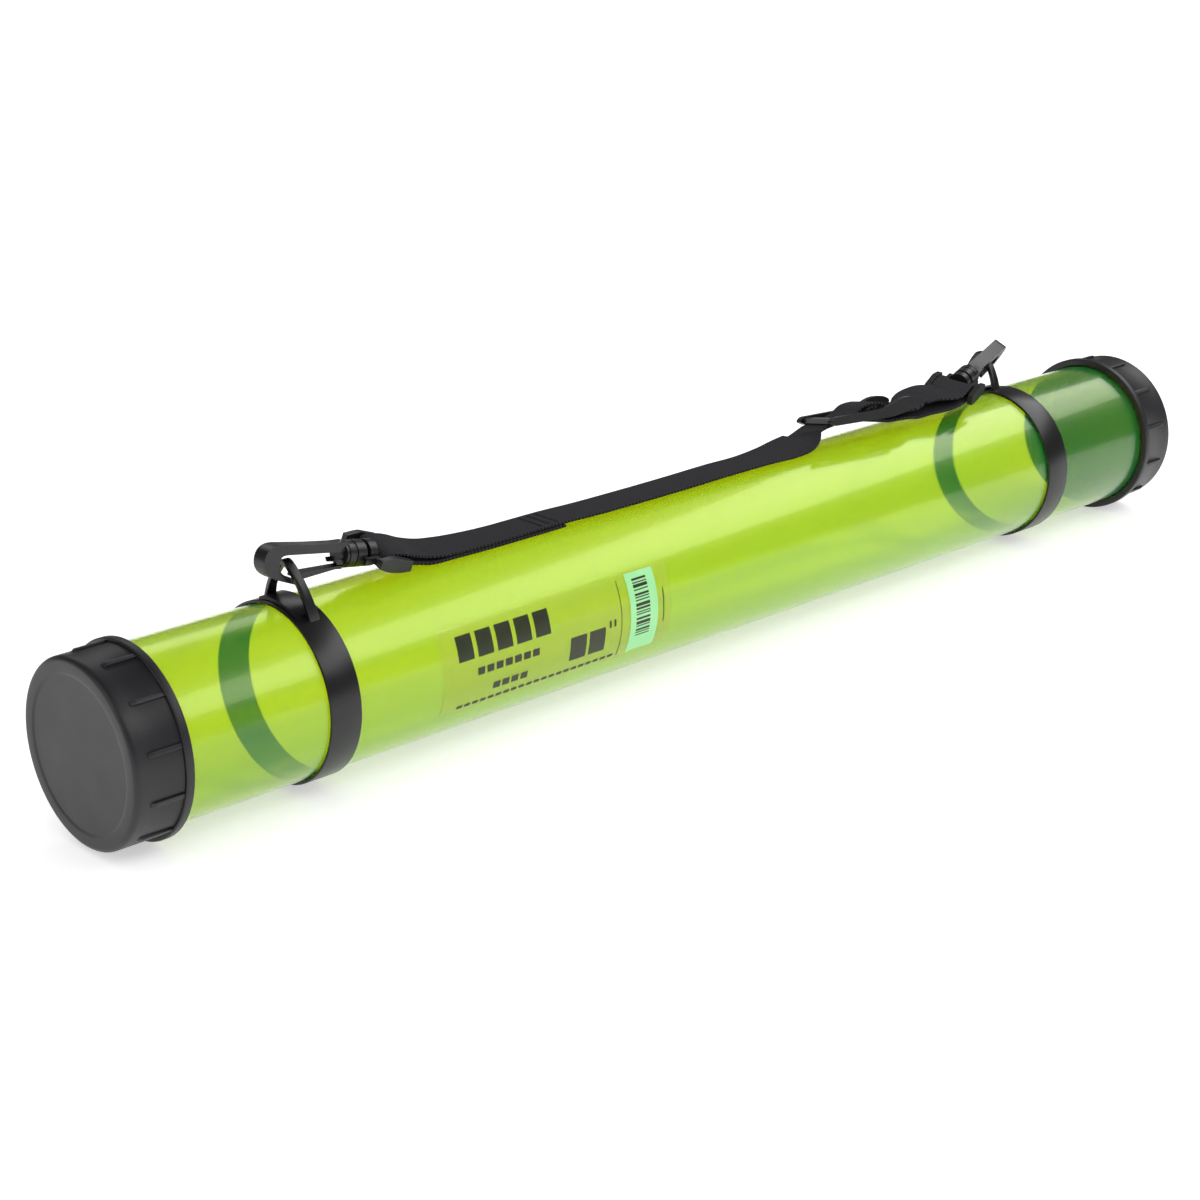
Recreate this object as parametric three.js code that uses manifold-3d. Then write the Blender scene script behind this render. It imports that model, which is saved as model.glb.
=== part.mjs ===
// Storage tube with push-on end caps and a clip-on webbing carry strap.
// Millimetres, +X along the tube, +Z up. The origin is on the floor under the middle of the tube.
import * as THREE from 'three';
import { mergeVertices } from 'three/addons/utils/BufferGeometryUtils.js';
import Module from 'manifold-3d';

const wasm = await Module();
wasm.setup();

// Tube
const TUBE_RADIUS = 38;
const TUBE_WALL = 1.3;
const TUBE_LENGTH = 660.4;
const ROUND_SIDES = 48;

// End caps
const CAP_DEPTH = 25.6;
const CAP_PLATE = 2.2;
const CAP_SHOULDER_BACK = 7;
const CAP_SHOULDER_LIP = 1.6;
const CAP_FIT = 0.25;
const CAP_SKIRT_WALL = 1.6;
const CAP_EDGE_ROUND = 2.4;
const CAP_PANEL_RADIUS = 32.6;
const CAP_PANEL_DEPTH = 0.45;
const FLANGE_HEIGHT = 2;
const FLANGE_WIDTH = 3.9;
const RIB_COUNT = 12;
const RIB_PHASE = 15.5;
const RIB_HEIGHT = 1.1;
const RIB_WIDTH = 2.2;
const RIB_START = 6.6;

// Collar rings with their loops
const RING_CENTRE = 236.5;
const RING_WIDTH = 15.6;
const RING_WALL = 1.25;
const RING_FIT = 0.25;
const LOOP_HEIGHT = 22;
const LOOP_HALF_SPAN = 16;
const LOOP_TOP_OFFSET = 1.6;
const LOOP_FOOT_OFFSET = -1.5;
const LOOP_THICKNESS = 2.6;
const LOOP_WIDTH_TOP = 4;
const LOOP_WIDTH_FOOT = 5.6;
const LOOP_SHARPNESS = 1.4;
const SADDLE_HEIGHT = 1.2;
const SADDLE_ANGLE = 36;
const SADDLE_WIDTH = 12;
const FRONT_LOOP = { lean: 5, sway: 0 };
const REAR_LOOP = { lean: -28, sway: -10 };

// Snap hooks, in their own frame: u to the nose, v across, w up
const HOOK_LENGTH = 44.8;
const HOOK_THICKNESS = 6.8;
const HOOK_LIP_THICKNESS = 4.4;
const HOOK_ARM_TOP = 6.2;
const HOOK_ARM_UNDER = 1.9;
const HOOK_TIP_U = 25.6;
const BARREL_RADIUS = 5.8;
const BARREL_LENGTH = 9.2;
const PIN_RADIUS = 2.4;
const PIN_FIT = 0.2;
const PIN_HEAD_RADIUS = 3.6;
const PIN_HEAD_LENGTH = 1.6;
const COLLAR_LENGTH = 4.2;
const COLLAR_GAP = 1.9;
const GATE_PIVOT_U = 2.2;
const GATE_PIVOT_W = -5;
const GATE_THICKNESS = 1.8;
const GATE_WIDTH = 4.4;
const GATE_TIP_U = 27.2;
const GATE_FIT = 0.35;

// Strap bars behind the swivels
const BAR_RADIUS = 1.9;
const BAR_SETBACK = 4.6;
const WRAP_STEPS = 6;
const PADDLE_LENGTH = 18;
const YOKE_HEIGHT = 2.8;
const FORK_WIDTH = 1.8;
const PADDLE_THICKNESS = 2.8;
const PADDLE_HEIGHT = 7;
const STRAP_SIDE_FIT = 1;

// Webbing
const STRAP_WIDTH = 19;
const STRAP_THICKNESS = 1.5;
const LAYER_GAP = 0.3;

// Slider
const SLIDER_LENGTH = 58;
const SLIDER_RAIL_WIDTH = 3.4;
const SLIDER_BAR_DEPTH = 4.2;
const SLIDER_BAR_HEIGHT = 2.4;
const SLIDER_ROD_RADIUS = 1.6;

// Film label, in whole facets of the tube's side
const LABEL_START_X = -184;
const LABEL_LENGTH = 134;
const LABEL_THICKNESS = 0.15;
const LABEL_GAP = 0.05;
const LABEL_FIRST_FACET = 8;
const LABEL_FACETS = 8;

// Where the slider sits: its middle, its lift above the tube's skin, and its turns in degrees
const SLIDER_PLACE = { x: 117.6, y: -2.2, lift: 12.1, yaw: -9, pitch: 0, roll: -12 };

// Where the two hooks sit: place of the barrel's front face, with its lift above the tube's
// skin, and its turns in degrees
const FRONT_HOOK = { x: -208.6, y: -3.4, lift: 15.2, yaw: 184, pitch: 11, hookRoll: 0, barRoll: 15 };
const REAR_HOOK = { x: 210, y: 2.7, lift: 13.6, yaw: 18, pitch: 5.5, hookRoll: 31, barRoll: 8 };

const degrees = THREE.MathUtils.degToRad;
const halfFacet = Math.PI / ROUND_SIDES;
const capInnerRadius = TUBE_RADIUS + CAP_FIT;
const capSkirtRadius = capInnerRadius + CAP_SKIRT_WALL;
const flangeRadius = capSkirtRadius + FLANGE_HEIGHT;
const axisHeight = flangeRadius * Math.cos(halfFacet);
const capFaceX = TUBE_LENGTH / 2 + CAP_SHOULDER_BACK + LAYER_GAP;
const ringOuterRadius = TUBE_RADIUS + RING_FIT + RING_WALL;
const collarBackPlace = -BARREL_LENGTH - COLLAR_GAP - COLLAR_LENGTH;
const barPlace = collarBackPlace - BAR_SETBACK;
const sliderBarPlace = SLIDER_LENGTH / 2 - 4;
const loopFoot = Math.sqrt(ringOuterRadius ** 2 - LOOP_HALF_SPAN ** 2) - RING_WALL / 2;

// Solids

function toSolid(geometry) {
  const bare = geometry.clone();
  bare.deleteAttribute('normal');
  bare.deleteAttribute('uv');
  const merged = mergeVertices(bare, 1e-4);
  const place = merged.getAttribute('position');
  const index = merged.getIndex().array;
  const kept = [];
  let volume = 0;
  const corners = [new THREE.Vector3(), new THREE.Vector3(), new THREE.Vector3()];
  for (let i = 0; i < index.length; i += 3) {
    const [a, b, c] = [index[i], index[i + 1], index[i + 2]];
    if (a === b || b === c || c === a) continue;
    corners[0].fromBufferAttribute(place, a);
    corners[1].fromBufferAttribute(place, b);
    corners[2].fromBufferAttribute(place, c);
    volume += corners[0].dot(corners[1].clone().cross(corners[2]));
    kept.push(a, b, c);
  }
  const facing = volume < 0 ? kept.reverse() : kept;
  const mesh = new wasm.Mesh({
    numProp: 3,
    vertProperties: new Float32Array(place.array),
    triVerts: new Uint32Array(facing),
  });
  return new wasm.Manifold(mesh);
}

function fuse(solids) {
  return solids.slice(1).reduce((whole, piece) => whole.add(piece), solids[0]);
}

function toGeometry(solid) {
  const mesh = solid.getMesh();
  const geometry = new THREE.BufferGeometry();
  geometry.setAttribute('position', new THREE.BufferAttribute(mesh.vertProperties, 3));
  geometry.setIndex(new THREE.BufferAttribute(mesh.triVerts, 1));
  geometry.computeVertexNormals();
  return geometry;
}

function node(name, solid, material) {
  const mesh = new THREE.Mesh(toGeometry(solid), material.clone());
  mesh.name = name;
  return mesh;
}

// A profile of [radius, distance] points turned about the X axis, with a facet at the bottom.
function turned(profile) {
  const points = profile.map(([radius, along]) => new THREE.Vector2(radius, along));
  const geometry = new THREE.LatheGeometry(points, ROUND_SIDES, halfFacet, 2 * Math.PI);
  geometry.rotateZ(-Math.PI / 2);
  return toSolid(geometry);
}

// A ring-shaped profile is closed by its own first point.
function turnedRing(profile) {
  return turned([...profile, profile[0]]);
}

// A shape drawn in the X-Z plane, given a thickness along Y about the middle plane.
function plate(shape, thickness, curveSegments = 8) {
  const options = { depth: thickness, bevelEnabled: false, curveSegments };
  const geometry = new THREE.ExtrudeGeometry(shape, options);
  geometry.translate(0, 0, -thickness / 2);
  geometry.rotateX(Math.PI / 2);
  return toSolid(geometry);
}

function box(length, width, height, x, y, z) {
  const geometry = new THREE.BoxGeometry(length, width, height);
  geometry.translate(x, y, z);
  return toSolid(geometry);
}

// A round bar along X or Y.
function round(radius, length, along, x, y, z, sides = 24) {
  const geometry = new THREE.CylinderGeometry(radius, radius, length, sides);
  if (along === 'x') geometry.rotateZ(-Math.PI / 2);
  geometry.translate(x, y, z);
  return toSolid(geometry);
}

// A closed skin through a row of sections that all have the same number of corners.
function loft(sections) {
  const count = sections[0].length;
  const places = sections.flat().flatMap((p) => [p.x, p.y, p.z]);
  const faces = [];
  for (let s = 0; s + 1 < sections.length; s += 1) {
    for (let k = 0; k < count; k += 1) {
      const next = (k + 1) % count;
      const [a, b] = [s * count + k, s * count + next];
      const [c, d] = [a + count, b + count];
      faces.push(a, b, d, a, d, c);
    }
  }
  const last = (sections.length - 1) * count;
  for (let k = 1; k + 1 < count; k += 1) {
    faces.push(0, k + 1, k);
    faces.push(last, last + k, last + k + 1);
  }
  const geometry = new THREE.BufferGeometry();
  geometry.setAttribute('position', new THREE.Float32BufferAttribute(places, 3));
  geometry.setIndex(faces);
  return toSolid(geometry);
}

function turnAboutAxis(solid, angle) {
  return solid.rotate([angle, 0, 0]);
}

// Materials

const blackPlastic = new THREE.MeshStandardMaterial({ color: 0x252529, roughness: 0.4 });
const clearGreen = new THREE.MeshStandardMaterial({
  color: 0xc3d62a, roughness: 0.2, transparent: true, opacity: 0.6,
});
const filmPlastic = new THREE.MeshStandardMaterial({
  color: 0xa9c23a, roughness: 0.3, transparent: true, opacity: 0.6,
});
const webbing = new THREE.MeshStandardMaterial({ color: 0x1f1d20, roughness: 0.9 });

// Tube and label

function makeTube() {
  const inner = TUBE_RADIUS - TUBE_WALL;
  const half = TUBE_LENGTH / 2;
  const profile = [[inner, -half], [TUBE_RADIUS, -half], [TUBE_RADIUS, half], [inner, half]];
  return node('tube', turnedRing(profile), clearGreen);
}

function makeLabel() {
  const inner = TUBE_RADIUS + LABEL_GAP;
  const outer = inner + LABEL_THICKNESS;
  const sections = [];
  for (let i = 0; i <= LABEL_FACETS; i += 1) {
    const angle = (LABEL_FIRST_FACET + i) * 2 * halfFacet - halfFacet;
    const corner = (x, radius) => (
      new THREE.Vector3(x, -radius * Math.sin(angle), radius * Math.cos(angle)));
    const end = LABEL_START_X + LABEL_LENGTH;
    sections.push([
      corner(LABEL_START_X, inner), corner(end, inner),
      corner(end, outer), corner(LABEL_START_X, outer)]);
  }
  return node('label', loft(sections), filmPlastic);
}

// End caps

function makeCap(name, facing) {
  const flangeStart = CAP_DEPTH - FLANGE_WIDTH;
  const shoulder = TUBE_RADIUS - TUBE_WALL - CAP_SHOULDER_LIP + 1;
  const step = CAP_PANEL_DEPTH;
  const corner = capSkirtRadius - CAP_EDGE_ROUND;
  const edge = [15, 40, 65].map((angle) => [
    corner + CAP_EDGE_ROUND * Math.sin(degrees(angle)),
    CAP_EDGE_ROUND * (1 - Math.cos(degrees(angle)))]);
  const body = turned([
    [0, step], [CAP_PANEL_RADIUS, step], [CAP_PANEL_RADIUS + 2 * step, 0], [corner, 0],
    ...edge, [capSkirtRadius, CAP_EDGE_ROUND],
    [capSkirtRadius, flangeStart], [flangeRadius, flangeStart + 0.6],
    [flangeRadius, CAP_DEPTH], [capInnerRadius, CAP_DEPTH],
    [capInnerRadius, CAP_SHOULDER_BACK], [shoulder, CAP_SHOULDER_BACK],
    [shoulder, CAP_PLATE], [0, CAP_PLATE]]);
  const ribLength = flangeStart + 1 - RIB_START;
  const ribBase = capSkirtRadius - CAP_SKIRT_WALL / 2;
  const ribDepth = capSkirtRadius + RIB_HEIGHT - ribBase;
  const ribs = [];
  for (let i = 0; i < RIB_COUNT; i += 1) {
    const rib = box(ribLength, RIB_WIDTH, ribDepth, RIB_START + ribLength / 2, 0, ribBase + ribDepth / 2);
    ribs.push(turnAboutAxis(rib, facing * RIB_PHASE + (360 / RIB_COUNT) * i));
  }
  const mesh = node(name, fuse([body, ...ribs]), blackPlastic);
  mesh.position.x = -facing * capFaceX;
  mesh.rotation.z = facing > 0 ? 0 : Math.PI;
  return mesh;
}

// Collar rings

// Height of the loop's middle line above the ring at a share of its half span.
function loopRise(share) {
  return LOOP_HEIGHT * (1 - Math.abs(share) ** LOOP_SHARPNESS) ** (1 / LOOP_SHARPNESS);
}

// The top of a loop stands off its own middle by the sway, where its hook has bent it.
function makeRing(name, facing, { lean, sway }) {
  const inner = TUBE_RADIUS + RING_FIT;
  const half = RING_WIDTH / 2;
  const bevel = 0.5;
  const band = turnedRing([
    [inner, -half], [ringOuterRadius - bevel, -half], [ringOuterRadius, -half + bevel],
    [ringOuterRadius, half - bevel], [ringOuterRadius - bevel, half], [inner, half]]);
  const stations = 20;
  const path = [];
  for (let i = 0; i <= stations; i += 1) {
    const share = -Math.cos((Math.PI * i) / stations);
    const rise = loopRise(share);
    const y = share * (LOOP_HALF_SPAN - LOOP_THICKNESS / 2) + sway * (rise / LOOP_HEIGHT);
    const offset = THREE.MathUtils.lerp(LOOP_FOOT_OFFSET, LOOP_TOP_OFFSET, rise / LOOP_HEIGHT);
    path.push(new THREE.Vector3(-facing * offset, y, loopFoot + rise));
  }
  const sections = path.map((point, i) => {
    const before = path[Math.max(i - 1, 0)];
    const after = path[Math.min(i + 1, stations)];
    const tangent = after.clone().sub(before).setX(0).normalize();
    const outward = new THREE.Vector3(0, -tangent.z, tangent.y).multiplyScalar(LOOP_THICKNESS / 2);
    const foot = Math.abs(i / stations - 0.5) * 2;
    const width = THREE.MathUtils.lerp(LOOP_WIDTH_TOP, LOOP_WIDTH_FOOT, foot ** 3) / 2;
    const across = new THREE.Vector3(width, 0, 0);
    return [
      point.clone().add(outward).add(across), point.clone().sub(outward).add(across),
      point.clone().sub(outward).sub(across), point.clone().add(outward).sub(across)];
  });
  const saddleRadius = ringOuterRadius + SADDLE_HEIGHT;
  const saddleSections = [];
  for (let i = 0; i <= 8; i += 1) {
    const angle = degrees(SADDLE_ANGLE * (i / 8 - 0.5));
    const corner = (x, radius) => (
      new THREE.Vector3(x, radius * Math.sin(angle), radius * Math.cos(angle)));
    const w = SADDLE_WIDTH / 2;
    const low = ringOuterRadius - RING_WALL / 2;
    saddleSections.push([corner(-w, low), corner(w, low), corner(w, saddleRadius), corner(-w, saddleRadius)]);
  }
  const whole = fuse([band, loft(sections), loft(saddleSections)]);
  const bore = turned([[0, -half - 1], [inner, -half - 1], [inner, half + 1], [0, half + 1]]);
  const mesh = node(name, turnAboutAxis(whole, lean).subtract(bore), blackPlastic);
  mesh.position.x = -facing * RING_CENTRE;
  return mesh;
}

// Snap hooks

// Outer outline of the hook, from the swivel along the arm, round the nose to the tip and back.
function hookOutline(inset) {
  const shape = new THREE.Shape();
  const lip = inset;
  shape.moveTo(-0.5, HOOK_ARM_TOP - 0.6);
  shape.lineTo(6, HOOK_ARM_TOP - 0.9);
  shape.lineTo(20, HOOK_ARM_TOP - 0.7);
  shape.lineTo(36.6, HOOK_ARM_TOP);
  shape.bezierCurveTo(42, HOOK_ARM_TOP, HOOK_LENGTH, 4, HOOK_LENGTH, -0.5);
  shape.bezierCurveTo(HOOK_LENGTH, -5.6, 39.5, -7.8, 34, -9);
  shape.lineTo(HOOK_TIP_U + 1, -10.8);
  shape.lineTo(HOOK_TIP_U, -9.6);
  shape.lineTo(HOOK_TIP_U + 1.2, -8.4 - lip * 0.25);
  shape.lineTo(31.2, -7.2 - lip * 0.3);
  shape.bezierCurveTo(34 + lip * 0.6, -6.2 - lip * 0.3, 35.4 + lip, -4.8, 35.4 + lip, -2.4);
  shape.bezierCurveTo(35.4 + lip, 0, 34.6 + lip * 0.7, HOOK_ARM_UNDER, 32.4, HOOK_ARM_UNDER);
  shape.lineTo(8.6, HOOK_ARM_UNDER - 0.2);
  shape.lineTo(6.6, -0.6);
  shape.lineTo(5.4, -3.6);
  shape.lineTo(-0.5, -3.8);
  shape.closePath();
  return shape;
}

function makeHook(name) {
  const lip = 2.6;
  const rim = plate(hookOutline(lip), HOOK_THICKNESS);
  const web = plate(hookOutline(0), HOOK_LIP_THICKNESS);
  const barrel = round(BARREL_RADIUS, BARREL_LENGTH, 'x', -BARREL_LENGTH / 2, 0, 0);
  const cheek = round(BARREL_RADIUS - 0.4, 2, 'x', 0.5, 0, 0);
  const groove = round(BARREL_RADIUS + 1, 0.7, 'x', -BARREL_LENGTH * 0.42, 0, 0)
    .subtract(round(BARREL_RADIUS - 0.5, 1, 'x', -BARREL_LENGTH * 0.42, 0, 0));
  const bore = round(PIN_RADIUS + PIN_FIT, 2 * BARREL_LENGTH + 8, 'x', 0, 0, 0);
  const headRoom = round(PIN_HEAD_RADIUS + PIN_FIT, PIN_HEAD_LENGTH + 6, 'x', 1.7 + PIN_HEAD_LENGTH / 2 + 3, 0, 0);
  const headLimit = box(8, 20, 20, 4.9, 0, 0);
  const seat = headRoom.intersect(headLimit);
  const gateSlot = box(GATE_TIP_U, GATE_WIDTH + 2 * GATE_FIT, 12, GATE_TIP_U / 2 + 0.6, 0, GATE_PIVOT_W - 5.1 + 0.9);
  const tipCut = box(6, HOOK_THICKNESS + 2, 3.4, HOOK_TIP_U - 1.6, 0, -6.6);
  const solid = fuse([rim, web, barrel, cheek])
    .subtract(groove).subtract(bore).subtract(seat)
    .subtract(gateSlot.intersect(box(5.6, 40, 40, 3.4, 0, 0)))
    .subtract(tipCut);
  return node(name, solid, blackPlastic);
}

// The gate, a thin tongue from its root under the swivel to just inside the hook's tip.
function makeGate(name) {
  const half = GATE_THICKNESS / 2;
  const shape = new THREE.Shape();
  const tipW = -7.4;
  const rootW = GATE_PIVOT_W;
  shape.moveTo(1.1, rootW - half);
  shape.lineTo(1.1, rootW + half);
  shape.lineTo(5, rootW + half - 0.3);
  shape.lineTo(GATE_TIP_U - 6, tipW + half + 0.9);
  shape.lineTo(GATE_TIP_U, tipW + half);
  shape.lineTo(GATE_TIP_U, tipW - half + 0.5);
  shape.lineTo(HOOK_TIP_U - 0.9, tipW - half + 0.3);
  shape.lineTo(HOOK_TIP_U - 1.6, tipW - half - 0.9);
  shape.lineTo(5, rootW - half);
  shape.closePath();
  return node(name, plate(shape, GATE_WIDTH), blackPlastic);
}

// The swivel's pin, its collar and the yoke with the bar that the webbing goes round.
function makeStrapBar(name) {
  const collarFront = -BARREL_LENGTH - COLLAR_GAP;
  const collarBack = collarBackPlace;
  const pinStart = 2.1;
  const pinLength = pinStart - collarFront + 1;
  const pin = round(PIN_RADIUS, pinLength, 'x', pinStart - pinLength / 2, 0, 0);
  const head = round(PIN_HEAD_RADIUS, PIN_HEAD_LENGTH, 'x', pinStart + PIN_HEAD_LENGTH / 2, 0, 0);
  const collar = round(BARREL_RADIUS, COLLAR_LENGTH, 'x', collarFront - COLLAR_LENGTH / 2, 0, 0);
  const inside = STRAP_WIDTH / 2 + STRAP_SIDE_FIT;
  const outside = inside + PADDLE_THICKNESS;
  const crossFront = collarFront - 0.6;
  const crossBack = collarBack + 0.6;
  const forkFront = -BARREL_LENGTH + 2.4;
  const forkInside = BARREL_RADIUS + 0.5;
  const yoke = [box(crossFront - crossBack, 2 * outside, YOKE_HEIGHT, (crossFront + crossBack) / 2, 0, 0)];
  for (const side of [-1, 1]) {
    const forkMiddle = side * (forkInside + FORK_WIDTH / 2);
    yoke.push(box(forkFront - crossBack, FORK_WIDTH, YOKE_HEIGHT, (forkFront + crossBack) / 2, forkMiddle, 0));
  }
  const pieces = [pin, head, collar, ...yoke];
  const leaf = new THREE.Shape();
  const front = crossFront + 0.8;
  const back = front - PADDLE_LENGTH;
  const half = PADDLE_HEIGHT / 2;
  leaf.moveTo(front, -1.2);
  leaf.lineTo(front, half * 0.7);
  leaf.bezierCurveTo(front - 3, half * 0.8, front - 5, half, front - 8, half);
  leaf.lineTo(back, half * 0.45);
  leaf.lineTo(back, -half * 0.9);
  leaf.bezierCurveTo(back + 4, -half * 1.05, front - 6, -half * 1.15, front, -1.2);
  leaf.closePath();
  for (const side of [-1, 1]) {
    const paddle = plate(leaf, PADDLE_THICKNESS, 6);
    pieces.push(paddle.translate([0, side * (inside + PADDLE_THICKNESS / 2), 0]));
  }
  pieces.push(round(BAR_RADIUS, 2 * inside + PADDLE_THICKNESS, 'y', barPlace, 0, 0));
  return node(name, fuse(pieces), blackPlastic);
}

// The near side of the bar dips by barRoll, whichever way the hook faces.
function barTurn(place) {
  return place.barRoll * Math.sign(Math.cos(degrees(place.yaw)));
}

// A group whose X axis points to the nose, turned and placed as one end of the strap lies.
function hookFrame(place) {
  const group = new THREE.Group();
  group.position.set(place.x, place.y, TUBE_RADIUS + place.lift);
  group.rotation.order = 'ZYX';
  group.rotation.set(0, -degrees(place.pitch), degrees(place.yaw));
  return group;
}

function makeHookEnd(prefix, place) {
  const frame = hookFrame(place);
  const swivel = new THREE.Group();
  swivel.rotation.x = degrees(place.hookRoll);
  swivel.add(makeHook(`${prefix}_hook`), makeGate(`${prefix}_gate`));
  const bar = new THREE.Group();
  bar.rotation.x = degrees(barTurn(place));
  bar.add(makeStrapBar(`${prefix}_strap_bar`));
  frame.add(swivel, bar);
  return frame;
}

// Slider

function makeSlider() {
  const half = SLIDER_LENGTH / 2;
  const inside = STRAP_WIDTH / 2 + STRAP_SIDE_FIT;
  const side = new THREE.Shape();
  side.moveTo(-half, -0.6);
  side.bezierCurveTo(-half, 0.8, -half + 1.5, 1.8, -half + 3.5, 1.9);
  side.lineTo(half * 0.1, 1.7);
  side.bezierCurveTo(half * 0.4, 2, half * 0.45, 5.2, half * 0.7, 5.2);
  side.bezierCurveTo(half * 0.85, 5.2, half, 3.4, half, 1.8);
  side.lineTo(half - 1, 0.2);
  side.bezierCurveTo(half * 0.7, -2.4, half * 0.4, -3.6, half * 0.1, -3);
  side.lineTo(-half + 3, -2.2);
  side.closePath();
  const pieces = [];
  for (const hand of [-1, 1]) {
    const rail = plate(side, SLIDER_RAIL_WIDTH, 6);
    pieces.push(rail.translate([0, hand * (inside + SLIDER_RAIL_WIDTH / 2), 0]));
  }
  const barSpan = 2 * inside + SLIDER_RAIL_WIDTH;
  for (const end of [-1, 1]) {
    pieces.push(box(SLIDER_BAR_DEPTH, barSpan, SLIDER_BAR_HEIGHT, end * sliderBarPlace, 0, 0));
  }
  pieces.push(round(SLIDER_ROD_RADIUS, barSpan, 'y', 0, 0, 0));
  const frame = sliderFrame();
  frame.add(node('slider', fuse(pieces), blackPlastic));
  return frame;
}

function sliderFrame() {
  const group = new THREE.Group();
  group.position.set(SLIDER_PLACE.x, SLIDER_PLACE.y, TUBE_RADIUS + SLIDER_PLACE.lift);
  group.rotation.order = 'ZYX';
  group.rotation.set(degrees(SLIDER_PLACE.roll), degrees(SLIDER_PLACE.pitch), degrees(SLIDER_PLACE.yaw));
  return group;
}

// Webbing

// A place on the webbing's middle line, with the direction across the webbing there.
function openPlace(x, y, lift, roll) {
  const across = new THREE.Vector3(0, Math.cos(degrees(roll)), Math.sin(degrees(roll)));
  return { point: new THREE.Vector3(x, y, TUBE_RADIUS + lift), across };
}

function placeIn(frame, x, z, across = 1) {
  frame.updateMatrixWorld(true);
  const point = new THREE.Vector3(x, 0, z).applyMatrix4(frame.matrixWorld);
  const direction = new THREE.Vector3(0, across, 0).transformDirection(frame.matrixWorld);
  return { point, across: direction };
}

// Places round a cross bar, on an arc from one angle to another in the frame's X-Z plane.
function wrapPlaces(frame, barX, barZ, radius, from, to, across) {
  const places = [];
  for (let i = 0; i <= WRAP_STEPS; i += 1) {
    const angle = degrees(THREE.MathUtils.lerp(from, to, i / WRAP_STEPS));
    const x = barX + radius * Math.cos(angle);
    places.push(placeIn(frame, x, barZ + radius * Math.sin(angle), across));
  }
  return places;
}

function barFrame(place) {
  const frame = hookFrame(place);
  const bar = new THREE.Group();
  bar.rotation.x = degrees(barTurn(place));
  frame.add(bar);
  frame.updateMatrixWorld(true);
  return bar;
}

function strapPlaces() {
  const wrapRadius = BAR_RADIUS + LAYER_GAP + STRAP_THICKNESS / 2;
  const loopRadius = SLIDER_ROD_RADIUS + LAYER_GAP + STRAP_THICKNESS / 2;
  const front = barFrame(FRONT_HOOK);
  const rear = barFrame(REAR_HOOK);
  const slider = sliderFrame();
  const underBar = -(SLIDER_BAR_HEIGHT + STRAP_THICKNESS) / 2 - LAYER_GAP;
  const overLoop = loopRadius + STRAP_THICKNESS + LAYER_GAP;
  const low = 2 * LAYER_GAP + STRAP_THICKNESS / 2;
  const high = low + STRAP_THICKNESS + LAYER_GAP;
  return [
    openPlace(-88, 0, low, 0),
    openPlace(-112, 0, low, 0),
    openPlace(-134, 0, low + 0.2, 1),
    openPlace(-152, -0.4, low + 1, 3),
    openPlace(-166, -0.8, low + 2.2, 7),
    placeIn(front, barPlace - 12, -wrapRadius + 0.9, -1),
    placeIn(front, barPlace - 5, -wrapRadius + 0.1, -1),
    ...wrapPlaces(front, barPlace, 0, wrapRadius, -100, 90, -1),
    placeIn(front, barPlace - 5, wrapRadius, -1),
    placeIn(front, barPlace - 11, wrapRadius - 0.8, -1),
    openPlace(-171, -1.1, 8.6, 12),
    openPlace(-162, -1, 6.2, 9),
    openPlace(-150, -0.5, 4.6, 6),
    openPlace(-136, -0.2, 3.7, 3),
    openPlace(-120, 0, 3.2, 1),
    openPlace(-104, 0, high + 0.1, 0),
    openPlace(-88, 0, high, 0),
    openPlace(-70, 0, 2.6, 0),
    openPlace(-40, 0, 2.3, 0),
    openPlace(-10, 0, 2.3, 0),
    openPlace(20, 0, 2.6, 0),
    openPlace(42, 0, 2.5, 0),
    openPlace(54, -0.3, 3, 4),
    openPlace(65, -0.8, 3.9, 11),
    openPlace(75, -0.9, 5.2, 10),
    placeIn(slider, -sliderBarPlace - 9, underBar - 2.4),
    placeIn(slider, -sliderBarPlace - 4, underBar - 0.6),
    placeIn(slider, -sliderBarPlace, underBar),
    placeIn(slider, -sliderBarPlace * 0.72, underBar + 0.8),
    placeIn(slider, -sliderBarPlace * 0.42, 0.8),
    placeIn(slider, -sliderBarPlace * 0.18, overLoop - 0.6),
    placeIn(slider, 0, overLoop),
    placeIn(slider, sliderBarPlace * 0.2, overLoop - 0.3),
    placeIn(slider, sliderBarPlace * 0.45, 1.6),
    placeIn(slider, sliderBarPlace * 0.75, underBar + 0.6),
    placeIn(slider, sliderBarPlace, underBar),
    placeIn(slider, sliderBarPlace + 5, underBar),
    openPlace(156, -3, 12, 3),
    openPlace(166, -4, 13.3, 8),
    placeIn(rear, barPlace - 12, wrapRadius - 0.6, 1),
    placeIn(rear, barPlace - 5, wrapRadius, 1),
    ...wrapPlaces(rear, barPlace, 0, wrapRadius, 90, -90, 1),
    placeIn(rear, barPlace - 5, -wrapRadius, 1),
    placeIn(rear, barPlace - 12, -wrapRadius + 0.4, 1),
    openPlace(162, -4, 6.4, 6),
    openPlace(150, -3, 5.4, 2),
    placeIn(slider, sliderBarPlace - 6, underBar - 3.6),
    placeIn(slider, 9, -loopRadius - 2.6),
    placeIn(slider, 4, -loopRadius - 0.6),
    ...wrapPlaces(slider, 0, 0, loopRadius, -90, -270, 1),
    placeIn(slider, 4.6, loopRadius - 0.2),
  ];
}

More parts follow.
